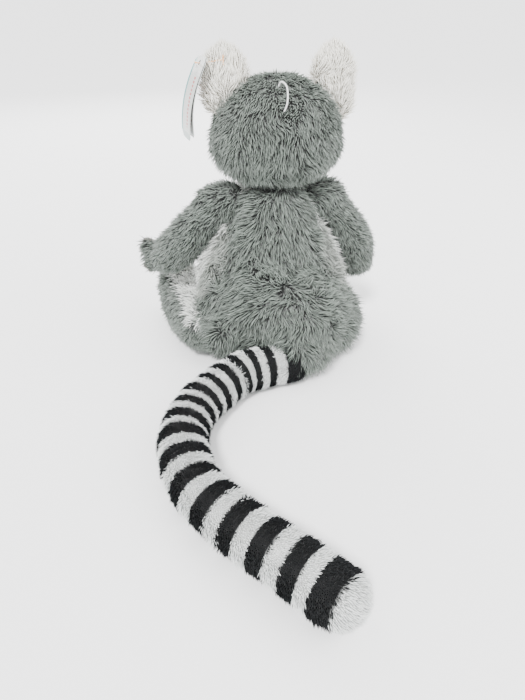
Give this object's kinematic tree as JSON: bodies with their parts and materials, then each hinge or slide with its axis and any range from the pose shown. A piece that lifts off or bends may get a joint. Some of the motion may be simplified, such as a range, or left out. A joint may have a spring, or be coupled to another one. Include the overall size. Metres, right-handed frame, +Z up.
{
  "type": "stuffed lemur toy",
  "caption": "Seated plush ring-tailed lemur with fluffy white ears, sewn arms and legs and a long soft striped tail that bends along its length.",
  "frame": {"origin": "middle of the flat seat panel, on the surface the toy sits on", "axes": "+Z up, the face looks along -Y, +X is the toy's left"},
  "size_m": [0.2779, 0.4897, 0.3222],
  "materials": {
    "grey_fur": "long soft pile",
    "white_fur": "long soft pile",
    "grey_cloth": "short pile",
    "black_fur": "short dense pile",
    "striped_fur": "short dense pile in black and white bands",
    "taupe_velour": "smooth velour",
    "stuffing": "polyester fibre filling",
    "bean_bag": "inner bag of pellets",
    "dark_felt": "short dark pile",
    "amber_eye": "polished",
    "black_nose": "satin",
    "white_washer": "moulded",
    "white_nylon": "twisted strand",
    "fastener_plastic": "thin moulded filament",
    "tag_card": "coated card"
  },
  "bodies": {
    "torso": {"torso_back_panel": "grey_fur", "torso_belly_panel": "white_fur", "seat_base_panel": "grey_cloth", "torso_stuffing": "stuffing", "seat_bean_bag": "bean_bag"},
    "neck": {"neck_stuffing": "stuffing"},
    "head": {"head_back_panel": "grey_fur", "face_panel": "white_fur", "head_stuffing": "stuffing", "muzzle_panel": "white_fur", "muzzle_stuffing": "stuffing", "nose": "black_nose", "nose_washer": "white_washer", "left_eye": "amber_eye", "left_eye_washer": "white_washer", "left_eye_patch": "dark_felt", "right_eye": "amber_eye", "right_eye_washer": "white_washer", "right_eye_patch": "dark_felt", "hanging_loop": "white_nylon"},
    "left_ear": {"left_ear_back_panel": "white_fur", "left_ear_front_panel": "white_fur", "tag_fastener": "fastener_plastic"},
    "hang_tag": {"hang_tag": "tag_card"},
    "right_ear": {"right_ear_back_panel": "white_fur", "right_ear_front_panel": "white_fur"},
    "left_arm": {"left_arm_sleeve": "grey_fur", "left_palm": "taupe_velour", "left_arm_stuffing": "stuffing"},
    "left_leg": {"left_leg_sleeve": "grey_fur", "left_foot_sole": "taupe_velour", "left_leg_stuffing": "stuffing"},
    "right_arm": {"right_arm_sleeve": "grey_fur", "right_palm": "taupe_velour", "right_arm_stuffing": "stuffing"},
    "right_leg": {"right_leg_sleeve": "grey_fur", "right_foot_sole": "taupe_velour", "right_leg_stuffing": "stuffing"},
    "tail_root": {"tail_root_sleeve": "black_fur", "tail_root_stuffing": "stuffing"},
    "tail_1": {"tail_1_sleeve": "striped_fur", "tail_1_stuffing": "stuffing"},
    "tail_2": {"tail_2_sleeve": "striped_fur", "tail_2_stuffing": "stuffing"},
    "tail_3": {"tail_3_sleeve": "striped_fur", "tail_3_stuffing": "stuffing"},
    "tail_4": {"tail_4_sleeve": "striped_fur", "tail_4_stuffing": "stuffing"},
    "tail_5": {"tail_5_sleeve": "striped_fur", "tail_5_stuffing": "stuffing"}
  },
  "joints": [
    {"name": "neck_turn", "type": "hinge", "parent": "torso", "child": "neck", "pos_m": [-0.005, -0.002, 0.196], "axis": [0, 0, 1], "range_deg": [-30, 30], "stiffness_Nm_per_rad": 0.25},
    {"name": "head_nod", "type": "hinge", "parent": "neck", "child": "head", "pos_m": [-0.005, -0.002, 0.196], "axis": [1, 0, 0], "range_deg": [-10, 12], "stiffness_Nm_per_rad": 0.6},
    {"name": "left_ear_fold", "type": "hinge", "parent": "head", "child": "left_ear", "pos_m": [0.0435, -0.009, 0.2775], "axis": [0.6703, 0, -0.7421], "range_deg": [-12, 15], "stiffness_Nm_per_rad": 0.06},
    {"name": "right_ear_fold", "type": "hinge", "parent": "head", "child": "right_ear", "pos_m": [-0.061, -0.009, 0.2775], "axis": [0.6703, 0, 0.7421], "range_deg": [-12, 15], "stiffness_Nm_per_rad": 0.06},
    {"name": "tag_swing", "type": "hinge", "parent": "left_ear", "child": "hang_tag", "pos_m": [0.06805, -0.00543, 0.30571], "axis": [0.1736, -0.9848, 0], "range_deg": [0, 25]},
    {"name": "left_arm_swing", "type": "hinge", "parent": "torso", "child": "left_arm", "pos_m": [0.064, -0.002, 0.168], "axis": [-1, 0, 0], "range_deg": [-20, 55], "stiffness_Nm_per_rad": 0.3},
    {"name": "right_arm_swing", "type": "hinge", "parent": "torso", "child": "right_arm", "pos_m": [-0.064, -0.002, 0.168], "axis": [-1, 0, 0], "range_deg": [-20, 55], "stiffness_Nm_per_rad": 0.3},
    {"name": "left_leg_lift", "type": "hinge", "parent": "torso", "child": "left_leg", "pos_m": [0.085, 0.029, 0.0345], "axis": [-1, 0, 0], "range_deg": [-15, 12], "stiffness_Nm_per_rad": 0.4},
    {"name": "right_leg_lift", "type": "hinge", "parent": "torso", "child": "right_leg", "pos_m": [-0.0745, 0.037, 0.0345], "axis": [-1, 0, 0], "range_deg": [-15, 4], "stiffness_Nm_per_rad": 0.4},
    {"name": "tail_swing", "type": "hinge", "parent": "torso", "child": "tail_root", "pos_m": [-0.008, 0.096, 0.0226], "axis": [0, 0, 1], "range_deg": [0, 80], "stiffness_Nm_per_rad": 0.2},
    {"name": "tail_lift", "type": "hinge", "parent": "tail_root", "child": "tail_1", "pos_m": [0.02471, 0.09999, 0.0226], "axis": [0.2049, -0.9788, 0], "range_deg": [-10, 30], "stiffness_Nm_per_rad": 0.3},
    {"name": "tail_bend_1", "type": "hinge", "parent": "tail_1", "child": "tail_2", "pos_m": [0.08948, 0.13966, 0.0226], "axis": [0, 0, 1], "range_deg": [-25, 15], "stiffness_Nm_per_rad": 0.15},
    {"name": "tail_bend_2", "type": "hinge", "parent": "tail_2", "child": "tail_3", "pos_m": [0.11753, 0.18996, 0.0226], "axis": [0, 0, 1], "range_deg": [-25, 15], "stiffness_Nm_per_rad": 0.15},
    {"name": "tail_bend_3", "type": "hinge", "parent": "tail_3", "child": "tail_4", "pos_m": [0.10529, 0.26479, 0.0226], "axis": [0, 0, 1], "range_deg": [-25, 15], "stiffness_Nm_per_rad": 0.15},
    {"name": "tail_bend_4", "type": "hinge", "parent": "tail_4", "child": "tail_5", "pos_m": [0.05873, 0.32465, 0.0226], "axis": [0, 0, 1], "range_deg": [-25, 15], "stiffness_Nm_per_rad": 0.15}
  ]
}
